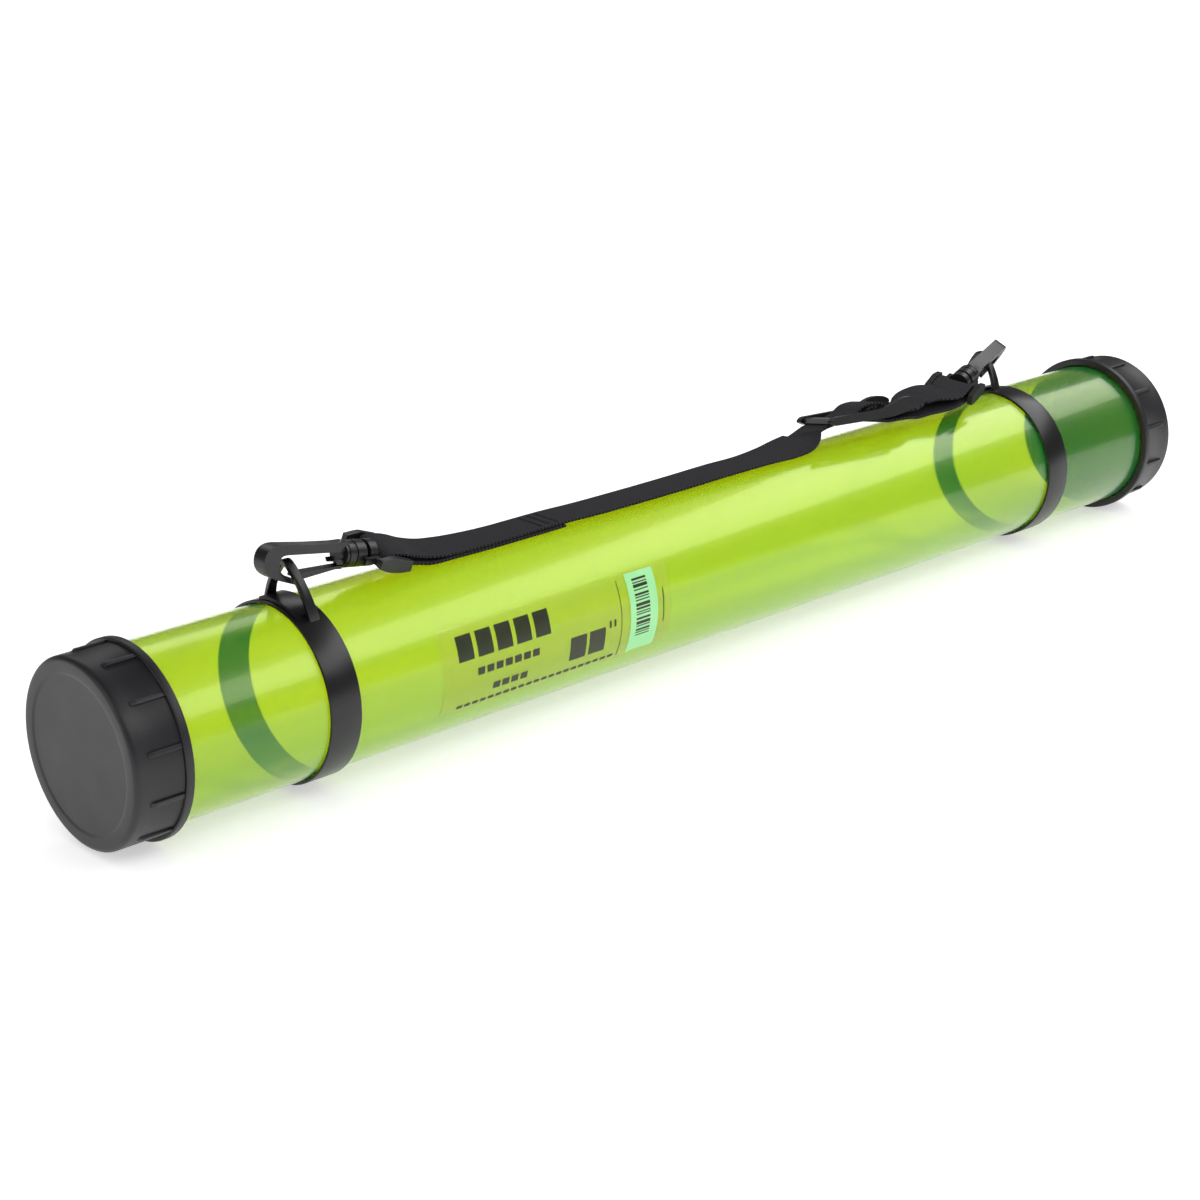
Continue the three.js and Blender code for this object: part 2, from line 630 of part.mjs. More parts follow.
function makeStrap() {
  const places = strapPlaces();
  const sections = places.map(({ point, across }, i) => {
    const before = places[Math.max(i - 1, 0)].point;
    const after = places[Math.min(i + 1, places.length - 1)].point;
    const tangent = after.clone().sub(before).normalize();
    const normal = tangent.clone().cross(across).normalize();
    const side = normal.clone().cross(tangent).multiplyScalar(STRAP_WIDTH / 2);
    const up = normal.multiplyScalar(STRAP_THICKNESS / 2);
    return [
      point.clone().add(side).add(up), point.clone().sub(side).add(up),
      point.clone().sub(side).sub(up), point.clone().add(side).sub(up)];
  });
  return node('strap', loft(sections), webbing);
}

// Assembly

const model = new THREE.Group();
const onAxis = new THREE.Group();
onAxis.position.z = axisHeight;
model.add(onAxis);
onAxis.add(
  makeTube(),
  makeLabel(),
  makeCap('front_cap', 1),
  makeCap('rear_cap', -1),
  makeRing('front_ring', 1, FRONT_LOOP),
  makeRing('rear_ring', -1, REAR_LOOP),
  makeHookEnd('front', FRONT_HOOK),
  makeHookEnd('rear', REAR_HOOK),
  makeSlider(),
  makeStrap(),
);

export default model;
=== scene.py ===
"""Looks of a clear storage tube with end caps, collar rings and a clip-on webbing strap.

Lengths are in millimetres in the part's own frame, and become metres when a mesh is made.
Places along the tube are x, and angles round it are counted from the top towards the front side.
"""

import logging
import math
from dataclasses import dataclass, field
from enum import Enum
from typing import Iterable, Optional, Sequence

import bmesh
import bpy
import numpy as np
from mathutils import Matrix, Vector


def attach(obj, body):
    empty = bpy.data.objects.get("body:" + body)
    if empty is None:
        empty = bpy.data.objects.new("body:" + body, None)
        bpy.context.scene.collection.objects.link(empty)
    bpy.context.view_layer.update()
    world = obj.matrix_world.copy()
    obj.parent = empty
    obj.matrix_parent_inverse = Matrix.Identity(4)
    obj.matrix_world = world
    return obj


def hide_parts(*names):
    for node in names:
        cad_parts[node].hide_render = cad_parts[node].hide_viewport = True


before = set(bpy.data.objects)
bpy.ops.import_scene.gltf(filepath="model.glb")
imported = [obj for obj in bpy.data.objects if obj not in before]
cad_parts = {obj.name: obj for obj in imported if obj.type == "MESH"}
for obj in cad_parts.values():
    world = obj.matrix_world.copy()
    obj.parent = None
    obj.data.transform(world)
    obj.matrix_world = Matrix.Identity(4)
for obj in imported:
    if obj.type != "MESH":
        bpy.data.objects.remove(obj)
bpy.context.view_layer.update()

log = logging.getLogger("storage_tube")

MM = 0.001
TUBE_RADIUS = 38.0
TUBE_WALL = 1.3
TUBE_LENGTH = 660.4
AXIS_HEIGHT = 41.85 * math.cos(math.pi / 48)
RING_OUTSIDE = 39.5
MM_IN_METRE = 1000
SHADE_PATCH_MM = 9.0
GLOSS_PATCH_MM = 14
RIPPLE_MM = 9
# Painted shade: the dark colour painted into the low gaps of the webbing's weave.
PAINTED_WEAVE_GAP_SHADE = "080708"
TWILL_SLOPE = 0.55
WELD_DISTANCE = 2e-6
FLAT_ANGLE = 1.0
COPY_SMOOTH_ANGLE = 38.0
CAMERA_PLACE = (-0.8067, -0.78745, 0.3892 + AXIS_HEIGHT * MM)
CAMERA_FORWARD = (0.6475, 0.6813, -0.3416)
CAMERA_RIGHT = (0.7249, -0.6889, 0.0)
LENS_MM = 75.249
SENSOR_MM = 36.0
FLOOR_HALF = 9


class End(Enum):
    """One end of the tube. The value is the sign of x on that side."""

    FRONT = -1
    REAR = 1


class Print(Enum):
    """Material slots of the film: the clear sheet, its ink and its pale panel."""

    SHEET = 0
    INK = 1
    PANEL = 2


@dataclass(frozen=True)
class Finish:
    """A surface finish: colour as sRGB hex, gloss, and the size and depth of its fine relief."""

    name: str
    colour: str
    roughness: float
    grain_mm: float = 0.4
    relief: float = 0.04
    second: str = ""


CLEAR_TUBE = Finish("tinted_clear_extrusion", "ecf034", 0.06, 60.0, 0.02, "dcec38")
CLEAR_FILM = Finish("clear_film", "fbfae4", 0.12, 30.0, 0.01)
CAP_PLASTIC = Finish("satin_black_cap_plastic", "1a181c", 0.42, 0.5, 0.05, "18161a")
RING_PLASTIC = Finish("glossy_black_ring_plastic", "0e0e10", 0.3, 1.6, 0.02, "121214")
HOOK_PLASTIC = Finish("black_acetal_hook_plastic", "17171a", 0.34, 0.6, 0.05, "131315")
# The webbing's second colour is painted light on the raised threads of its weave.
WEBBING = Finish("black_woven_webbing", "131114", 0.9, 1.15, 0.5, "333136")
THREAD = Finish("black_sewing_thread", "161418", 0.8, 0.3, 0.4, "1c1a1e")
INK = Finish("dark_green_ink", "20260a", 0.4, 0.8, 0.02, "262d0d")
PANEL = Finish("pale_green_panel", "93d894", 0.4, 0.8, 0.02, "9bdc9c")


# Numbers


def linear(hex_colour: str) -> tuple[float, float, float, float]:
    """Turns an sRGB hex colour into linear red, green, blue and alpha.

    Args:
        hex_colour: Six hex digits.
    Returns:
        The linear colour with alpha 1.
    """
    parts = [int(hex_colour[i : i + 2], 16) / 255 for i in (0, 2, 4)]
    red, green, blue = (p / 12.92 if p <= 0.04045 else ((p + 0.055) / 1.055) ** 2.4 for p in parts)
    return red, green, blue, 1.0


def around(x: np.ndarray, radius: np.ndarray, angle: np.ndarray) -> np.ndarray:
    """Points round the tube's axis: y = -r sin a, z = axis height + r cos a.

    Args:
        x: Places along the tube.
        radius: Distances from the axis.
        angle: Angles in degrees from the top towards the front side.
    Returns:
        Points as rows of x, y, z.
    """
    turn = np.radians(angle)
    x, radius, turn = np.broadcast_arrays(x, radius, turn)
    return np.stack([x, -radius * np.sin(turn), AXIS_HEIGHT + radius * np.cos(turn)], axis=-1)


def turn_matrix(yaw: float, pitch: float, roll: float) -> np.ndarray:
    """A turn made of a roll about X, then a pitch about Y, then a yaw about Z, in degrees.

    Args:
        yaw: Turn about Z.
        pitch: Turn about Y.
        roll: Turn about X.
    Returns:
        A 3 by 3 matrix.
    """
    (cy, sy), (cp, sp), (cr, sr) = (
        (math.cos(math.radians(a)), math.sin(math.radians(a))) for a in (yaw, pitch, roll)
    )
    about_z = np.array([[cy, -sy, 0], [sy, cy, 0], [0, 0, 1]])
    about_y = np.array([[cp, 0, sp], [0, 1, 0], [-sp, 0, cp]])
    about_x = np.array([[1, 0, 0], [0, cr, -sr], [0, sr, cr]])
    return about_z @ about_y @ about_x


def smooth_path(points: np.ndarray, spacing: float) -> tuple[np.ndarray, np.ndarray]:
    """A smooth curve through points, as cubic Hermite spans with Catmull-Rom tangents.

    Args:
        points: Rows of values to pass through; the first three columns are the place.
        spacing: Distance between the new points.
    Returns:
        The new rows, evenly spaced, and the distance along the curve at each.
    """
    step = np.linalg.norm(np.diff(points[:, :3], axis=0), axis=1)
    knots = np.concatenate([[0], np.cumsum(step)])
    slopes = np.gradient(points, knots, axis=0)
    fine = np.linspace(0, knots[-1], int(knots[-1] / spacing * 6) + 2)
    span = np.clip(np.searchsorted(knots, fine, side="right") - 1, 0, len(points) - 2)
    width = (knots[span + 1] - knots[span])[:, None]
    t = ((fine - knots[span])[:, None]) / width
    rows = (
        (2 * t**3 - 3 * t**2 + 1) * points[span]
        + (t**3 - 2 * t**2 + t) * width * slopes[span]
        + (-2 * t**3 + 3 * t**2) * points[span + 1]
        + (t**3 - t**2) * width * slopes[span + 1]
    )
    run = np.concatenate([[0], np.cumsum(np.linalg.norm(np.diff(rows[:, :3], axis=0), axis=1))])
    even = np.linspace(0, run[-1], int(run[-1] / spacing) + 1)
    return np.stack([np.interp(even, run, rows[:, k]) for k in range(rows.shape[1])], axis=1), even


def rounded_section(width: float, height: float, radius: float, steps: int = 4) -> np.ndarray:
    """The corners of a rectangle whose corners are arcs.

    Args:
        width: Size along the first direction.
        height: Size along the second direction.
        radius: Radius of the arcs.
        steps: Spans in each arc.
    Returns:
        Rows of two coordinates, going once round.
    """
    angles = np.linspace(0, math.pi / 2, steps + 1)
    rows = []
    for quarter, (sx, sy) in enumerate(((1, 1), (-1, 1), (-1, -1), (1, -1))):
        a = angles + quarter * math.pi / 2
        middle = np.array([sx * (width / 2 - radius), sy * (height / 2 - radius)])
        rows.append(middle + radius * np.stack([np.cos(a), np.sin(a)], axis=1))
    return np.concatenate(rows)


# Meshes


@dataclass
class Shell:
    """Closed skins in millimetres that together make one Blender object."""

    vertices: list = field(default_factory=list)
    faces: list = field(default_factory=list)
    slots: list = field(default_factory=list)
    uvs: list = field(default_factory=list)
    count: int = 0

    def add(
        self,
        vertices: np.ndarray,
        faces: Sequence[Sequence[int]],
        slot: int = 0,
        uv: Optional[np.ndarray] = None,
    ) -> None:
        """Adds a skin.

        Args:
            vertices: Rows of x, y, z in millimetres.
            faces: Vertex numbers of each face, counted within this skin.
            slot: Material slot of the faces.
            uv: A row of two coordinates for each vertex.
        """
        rows = np.asarray(vertices, float).reshape(-1, 3)
        self.vertices.append(rows)
        self.faces.extend(tuple(int(i) + self.count for i in face) for face in faces)
        self.slots.extend([slot] * len(faces))
        self.uvs.append(np.zeros((len(rows), 2)) if uv is None else np.asarray(uv, float))
        self.count += len(rows)

    def tube(self, rings: np.ndarray, slot: int = 0, uv: Optional[np.ndarray] = None) -> None:
        """Adds a closed skin through rings of corners, with both ends filled.

        Args:
            rings: An array of rings by corners by three.
            slot: Material slot of the faces.
            uv: Two coordinates for each corner of each ring.
        """
        many, corners = rings.shape[:2]
        faces = wall_faces(many, corners, closed=False)
        faces.append(tuple(range(corners))[::-1])
        faces.append(tuple((many - 1) * corners + k for k in range(corners)))
        flat = None if uv is None else uv.reshape(-1, 2)
        self.add(rings.reshape(-1, 3), faces, slot, flat)

    def hoop(self, rings: np.ndarray, slot: int = 0) -> None:
        """Adds a closed skin through rings of corners, the last joined to the first.

        Args:
            rings: An array of rings by corners by three.
            slot: Material slot of the faces.
        """
        many, corners = rings.shape[:2]
        self.add(rings.reshape(-1, 3), wall_faces(many, corners, closed=True), slot)

    def build(self, name: str, materials: Iterable, smooth_angle: float = 35.0) -> bpy.types.Object:
        """Makes the Blender object.

        Args:
            name: Name of the piece.
            materials: Materials in the order of the slots.
            smooth_angle: Edges sharper than this, in degrees, stay crisp.
        Returns:
            The object, linked to the scene and shaded smooth.
        """
        mesh = bpy.data.meshes.new(name)
        mesh.from_pydata((np.concatenate(self.vertices) * MM).tolist(), [], self.faces)
        for material in materials:
            mesh.materials.append(material)
        mesh.polygons.foreach_set("material_index", self.slots)
        layer = mesh.uv_layers.new(name="surface")
        corner = np.empty(len(mesh.loops), np.int32)
        mesh.loops.foreach_get("vertex_index", corner)
        layer.data.foreach_set("uv", np.concatenate(self.uvs)[corner].ravel())
        face_out(mesh)
        return link(name, mesh, smooth_angle)


def wall_faces(rings: int, corners: int, closed: bool) -> list:
    """Quads between neighbouring rings of corners.

    Args:
        rings: Number of rings.
        corners: Corners in each ring.
        closed: Whether the last ring is joined to the first.
    Returns:
        Faces as tuples of vertex numbers.
    """
    first, corner = np.meshgrid(np.arange(rings if closed else rings - 1), np.arange(corners))
    a = first * corners + corner
    b = first * corners + (corner + 1) % corners
    c = ((first + 1) % rings) * corners + (corner + 1) % corners
    d = ((first + 1) % rings) * corners + corner
    return [tuple(q) for q in np.stack([a, b, c, d], axis=-1).reshape(-1, 4)]


def face_out(mesh: bpy.types.Mesh) -> None:
    """Turns every face of a closed mesh outwards.

    Args:
        mesh: The mesh to change.
    """
    work = bmesh.new()
    work.from_mesh(mesh)
    bmesh.ops.recalc_face_normals(work, faces=work.faces)
    work.to_mesh(mesh)
    work.free()


def link(name: str, mesh: bpy.types.Mesh, smooth_angle: float) -> bpy.types.Object:
    """Puts a mesh in the scene, shaded smooth up to an angle.

    Args:
        name: Name of the object.
        mesh: Its mesh.
        smooth_angle: Edges sharper than this, in degrees, stay crisp.
    Returns:
        The new object.
    """
    mesh.polygons.foreach_set("use_smooth", [True] * len(mesh.polygons))
    mesh.set_sharp_from_angle(angle=math.radians(smooth_angle))
    mesh.update()
    piece = bpy.data.objects.new(name, mesh)
    bpy.context.scene.collection.objects.link(piece)
    return piece


def soften(piece: bpy.types.Object, width: float, segments: int = 3, angle: float = 38.0) -> None:
    """Rounds the sharp edges of a piece as a mould does.

    Args:
        piece: The piece.
        width: Width of the rounding in millimetres.
        segments: Steps across it.
        angle: Edges sharper than this, in degrees, are rounded.
    """
    bevel = piece.modifiers.new("mould_rounding", "BEVEL")
    bevel.width = width * MM
    bevel.segments = segments
    bevel.limit_method = "ANGLE"
    bevel.angle_limit = math.radians(angle)
    bevel.use_clamp_overlap = True
    bevel.harden_normals = False


def moulded_copy(node: str, name: str, material, rounding: float) -> bpy.types.Object:
    """A rounded and smooth-shaded copy of a solid of the frame.

    Args:
        node: The solid that it stands for.
        name: Name of the piece.
        material: Its material.
        rounding: Edge rounding in millimetres.
    Returns:
        The piece.
    """
    mesh = bpy.data.meshes.new(name)
    work = bmesh.new()
    work.from_mesh(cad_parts[node].data)
    bmesh.ops.remove_doubles(work, verts=work.verts, dist=WELD_DISTANCE)
    bmesh.ops.dissolve_limit(
        work, angle_limit=math.radians(FLAT_ANGLE), verts=work.verts, edges=work.edges
    )
    bmesh.ops.recalc_face_normals(work, faces=work.faces)
    work.to_mesh(mesh)
    work.free()
    mesh.materials.clear()
    mesh.materials.append(material)
    piece = link(name, mesh, COPY_SMOOTH_ANGLE)
    soften(piece, rounding)
    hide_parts(node)
    return piece


# Materials


def add_node(tree: bpy.types.NodeTree, kind: str, inputs: Optional[dict] = None, **settings):
    """Adds a node with its settings and inputs.

    Args:
        tree: The node tree.
        kind: Type of the node.
        inputs: Values or output sockets, by input name or number.
        settings: Attributes of the node.
    Returns:
        The node.
    """
    made = tree.nodes.new(kind)
    for key, value in settings.items():
        setattr(made, key, value)
    for key, value in (inputs or {}).items():
        if isinstance(value, bpy.types.NodeSocket):
            tree.links.new(value, made.inputs[key])
        else:
            made.inputs[key].default_value = value
    return made


def math_node(tree: bpy.types.NodeTree, operation: str, *values) -> bpy.types.NodeSocket:
    """Adds a math node.

    Args:
        tree: The node tree.
        operation: What it works out.
        values: Its inputs in order, as numbers or output sockets.
    Returns:
        The socket with its result.
    """
    made = add_node(tree, "ShaderNodeMath", dict(enumerate(values)), operation=operation)
    return made.outputs[0]


def new_material(name: str):
    """Makes an empty node material.

    Args:
        name: Its name.
    Returns:
        The material, its tree and its output node.
    """
    material = bpy.data.materials.new(name)
    material.use_nodes = True
    tree = material.node_tree
    tree.nodes.clear()
    return material, tree, tree.nodes.new("ShaderNodeOutputMaterial")


def mottled(tree: bpy.types.NodeTree, finish: Finish, coords, size_mm: float):
    """A colour that drifts a little between the two tones of a finish.

    Args:
        tree: The node tree.
        finish: The finish.
        coords: Coordinate socket in metres.
        size_mm: Size of the drift.
    Returns:
        The colour socket.
    """
    noise = add_node(
        tree,
        "ShaderNodeTexNoise",
        {"Vector": coords, "Scale": MM_IN_METRE / size_mm, "Detail": 3.0, "Roughness": 0.55},
    )
    ramp = add_node(tree, "ShaderNodeValToRGB", {"Fac": noise.outputs["Fac"]})
    ramp.color_ramp.elements[0].position = 0.35
    ramp.color_ramp.elements[1].position = 0.68
    ramp.color_ramp.elements[0].color = linear(finish.colour)
    ramp.color_ramp.elements[1].color = linear(finish.second or finish.colour)
    return ramp.outputs["Color"]


def moulded_plastic(finish: Finish) -> bpy.types.Material:
    """Opaque moulded plastic with a fine mould texture and slightly uneven gloss.

    Args:
        finish: Colour, gloss and relief.
    Returns:
        The material.
    """
    material, tree, output = new_material(finish.name)
    coords = add_node(tree, "ShaderNodeTexCoord").outputs["Object"]
    colour = mottled(tree, finish, coords, SHADE_PATCH_MM)
    fine = MM_IN_METRE / finish.grain_mm
    grain = add_node(
        tree,
        "ShaderNodeTexNoise",
        {"Vector": coords, "Scale": fine, "Detail": 4.0, "Roughness": 0.6},
    )
    patches = add_node(
        tree,
        "ShaderNodeTexNoise",
        {"Vector": coords, "Scale": MM_IN_METRE / GLOSS_PATCH_MM, "Detail": 2.0},
    )
    gloss = add_node(
        tree,
        "ShaderNodeMapRange",
        {
            "Value": patches.outputs["Fac"],
            "From Min": 0.3,
            "From Max": 0.7,
            "To Min": finish.roughness * 0.96,
            "To Max": finish.roughness * 1.06,
        },
    )
    bump = add_node(
        tree,
        "ShaderNodeBump",
        {"Height": grain.outputs["Fac"], "Strength": finish.relief * 4, "Distance": 0.00005},
    )
    shader = add_node(
        tree,
        "ShaderNodeBsdfPrincipled",
        {
            "Base Color": colour,
            "Roughness": gloss.outputs["Result"],
            "Normal": bump.outputs["Normal"],
            "IOR": 1.49,
        },
    )
    tree.links.new(shader.outputs["BSDF"], output.inputs["Surface"])
    return material


def tinted_clear(finish: Finish, scatter: str, share: float, coat: float) -> bpy.types.Material:
    """Clear plastic whose dye glows a little: tinted transmission mixed with a dyed scatter.

    Args:
        finish: Transmitted colours, gloss and the length of the extrusion's drift.
        scatter: Colour that the dye scatters, as hex.
        share: Weight of the scatter.
        coat: Weight of the glossy skin.
    Returns:
        The material.
    """
    material, tree, output = new_material(finish.name)
    coords = add_node(tree, "ShaderNodeTexCoord").outputs["Object"]
    drawn = add_node(tree, "ShaderNodeMapping", {"Vector": coords, "Scale": (0.12, 1.0, 1.0)})
    colour = mottled(tree, finish, drawn.outputs["Vector"], finish.grain_mm)
    ripple = add_node(
        tree,
        "ShaderNodeTexNoise",
        {"Vector": drawn.outputs["Vector"], "Scale": MM_IN_METRE / RIPPLE_MM, "Detail": 2.0},
    )
    bump = add_node(
        tree,
        "ShaderNodeBump",
        {"Height": ripple.outputs["Fac"], "Strength": finish.relief * 3, "Distance": 0.0003},
    )
    clear = add_node(
        tree,
        "ShaderNodeBsdfPrincipled",
        {
            "Base Color": colour,
            "Roughness": finish.roughness,
            "Normal": bump.outputs["Normal"],
            "IOR": 1.2,
            "Transmission Weight": 1.0,
            "Coat Weight": coat,
            "Coat Roughness": 0.24,
        },
    )
    dye = add_node(
        tree,
        "ShaderNodeBsdfPrincipled",
        {"Base Color": linear(scatter), "Roughness": 0.3, "Normal": bump.outputs["Normal"]},
    )
    mixed = add_node(
        tree,
        "ShaderNodeMixShader",
        {0: share, 1: clear.outputs["BSDF"], 2: dye.outputs["BSDF"]},
    )
    tree.links.new(mixed.outputs["Shader"], output.inputs["Surface"])
    return material


def woven(finish: Finish) -> bpy.types.Material:
    """Webbing with a twill weave on its own coordinates: u across and v along, in millimetres. Its
    colour is painted shade in the weave's low gaps and painted light on the raised threads, with a
    little random fibre tone.

    Args:
        finish: Colour of the painted light on the raised threads, gloss, thread pitch and relief.
    Returns:
        The material.
    """
    material, tree, output = new_material(finish.name)
    place = add_node(tree, "ShaderNodeUVMap", uv_map="surface").outputs["UV"]
    split = add_node(tree, "ShaderNodeSeparateXYZ", {"Vector": place})
    heights = []
    for slope in (TWILL_SLOPE, -TWILL_SLOPE):
        u = math_node(tree, "MULTIPLY", split.outputs["X"], 1 / finish.grain_mm)
        v = math_node(tree, "MULTIPLY", split.outputs["Y"], slope / finish.grain_mm)
        phase = math_node(tree, "MULTIPLY", math_node(tree, "ADD", u, v), 2 * math.pi)
        heights.append(math_node(tree, "SINE", phase))
    cross = math_node(tree, "MAXIMUM", *heights)
    fibre = add_node(
        tree, "ShaderNodeTexNoise", {"Vector": place, "Scale": 4.0, "Detail": 4.0, "Roughness": 0.7}
    )
    relief = math_node(tree, "MULTIPLY_ADD", fibre.outputs["Fac"], 0.5, cross)
    # Painted shade and light: the colour runs from painted shade in the low gaps of the weave to
    # painted light on the raised threads; the fibre noise adds random tone.
    tone = add_node(
        tree, "ShaderNodeMapRange", {"Value": relief, "From Min": -0.4, "From Max": 1.35}
    )
    ramp = add_node(tree, "ShaderNodeValToRGB", {"Fac": tone.outputs["Result"]})
    ramp.color_ramp.elements[0].color = linear(PAINTED_WEAVE_GAP_SHADE)
    ramp.color_ramp.elements[1].color = linear(finish.second)
    bump = add_node(
        tree,
        "ShaderNodeBump",
        {"Height": relief, "Strength": finish.relief, "Distance": 0.00035},
    )
    shader = add_node(
        tree,
        "ShaderNodeBsdfPrincipled",
        {
            "Base Color": ramp.outputs["Color"],
            "Roughness": finish.roughness,
            "Normal": bump.outputs["Normal"],
            "Specular IOR Level": 0.25,
        },
    )
    tree.links.new(shader.outputs["BSDF"], output.inputs["Surface"])
    return material


# Sub-assemblies


@dataclass
class Body:
    """The tube itself, open at both ends."""

    material: bpy.types.Material
    sides: int = 192

    def build(self) -> bpy.types.Object:
        """Makes the tube.

        Returns:
            The piece, riding on the tube.
        """
        half, inner = TUBE_LENGTH / 2, TUBE_RADIUS - TUBE_WALL
        edge = 0.3
        profile = np.array(
            [
                [inner, -half + edge],
                [inner + edge, -half],
                [TUBE_RADIUS - edge, -half],
                [TUBE_RADIUS, -half + edge],
                [TUBE_RADIUS, half - edge],
                [TUBE_RADIUS - edge, half],
                [inner + edge, half],
                [inner, half - edge],
            ]
        )
        angle = np.linspace(0, 360, self.sides, endpoint=False)
        rings = around(profile[None, :, 1], profile[None, :, 0], angle[:, None])
        shell = Shell()
        shell.hoop(rings)
        piece = shell.build("tube_wall", [self.material])
        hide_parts("tube")
        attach(piece, "tube")
        return piece


@dataclass
class Film:
    """The clear film on the tube's side, with its print as plain bars and fields."""

    sheet: bpy.types.Material
    ink: bpy.types.Material
    panel: bpy.types.Material
    start: float = -184.0
    end: float = -50.0
    top: float = 58.0
    bottom: float = 118.0
    skin: tuple = (0.06, 0.14)
    print_layer: tuple = (0.02, 0.05)
    code_layer: tuple = (0.07, 0.1)
    facet: float = 1.5

    def patch(self, shell: Shell, x: tuple, angle: tuple, radius: tuple, slot: Print) -> None:
        """Adds a thin closed patch that follows the tube.

        Args:
            shell: The shell to add to.
            x: Its two ends along the tube.
            angle: Its two sides round the tube, in degrees.
            radius: Its inner and outer radius.
            slot: Its material slot.
        """
        spans = max(2, int(abs(angle[1] - angle[0]) / self.facet))
        angles = np.linspace(angle[0], angle[1], spans + 1)
        corners = [(x[0], radius[0]), (x[1], radius[0]), (x[1], radius[1]), (x[0], radius[1])]
        rings = np.stack([around(cx, cr, angles) for cx, cr in corners], axis=1)
        shell.tube(rings, slot.value)

    def bars(self) -> list:
        """The printed shapes, as ends along the tube, sides round it, and slot.

        Returns:
            Rows of x0, x1, angle0, angle1 and slot.
        """
        rows = []
        for many, first, pitch, width, top, bottom in (
            (5, -175.5, 10.9, 8.6, 65.0, 82.0),
            (7, -165.5, 5.2, 3.9, 89.0, 94.0),
            (4, -156.0, 5.2, 3.9, 103.0, 108.0),
            (21, -175.0, 4.4, 3.2, 113.6, 116.0),
        ):
            for i in range(many):
                left = first + i * pitch
                rows.append((left, left + width, top, bottom, Print.INK))
        rows.append((-112.0, -102.4, 90.0, 107.0, Print.INK))
        rows.append((-100.6, -91.0, 90.0, 107.0, Print.INK))
        rows.append((-88.6, -87.4, 87.0, 92.0, Print.INK))
        rows.append((-85.8, -84.6, 87.0, 92.0, Print.INK))
        rows.append((-81.3, -80.9, 62.0, 116.5, Print.INK))
        rows.append((-75.5, -58.5, 59.5, 116.5, Print.PANEL))
        rows.append((-55.2, -54.6, 76.0, 100.0, Print.INK))
        return rows

    def code_bars(self) -> list:
        """Plain bars of mixed width across the pale panel.

        Returns:
            Rows of x0, x1, angle0, angle1 and slot.
        """
        rows, angle = [], 64.0
        for width, gap in (
            (1.5, 1.2), (0.8, 0.8), (2.2, 1.2), (0.8, 2.0), (1.5, 0.8), (0.8, 1.2), (0.8, 1.6),
            (2.2, 0.8), (1.5, 1.2), (0.8, 0.8), (0.8, 2.0), (1.5, 1.2), (2.2, 0.8), (0.8, 1.6),
            (1.5, 0.8), (0.8, 1.2), (0.8, 1.6),
        ):
            rows.append((-72.0, -63.4, angle, angle + width, Print.INK))
            angle += width + gap
        return rows

    def build(self) -> bpy.types.Object:
        """Makes the film and its print.

        Returns:
            The piece, riding on the tube.
        """
        shell = Shell()
        outside = TUBE_RADIUS + self.skin[1]
        sheet = (TUBE_RADIUS + self.skin[0], outside)
        self.patch(shell, (self.start, self.end), (self.top, self.bottom), sheet, Print.SHEET)
        for rows, layer in ((self.bars(), self.print_layer), (self.code_bars(), self.code_layer)):
            radius = (outside + layer[0], outside + layer[1])
            for x0, x1, a0, a1, slot in rows:
                self.patch(shell, (x0, x1), (a0, a1), radius, slot)
        piece = shell.build("film", [self.sheet, self.ink, self.panel])
        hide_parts("label")
        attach(piece, "tube")
        return piece


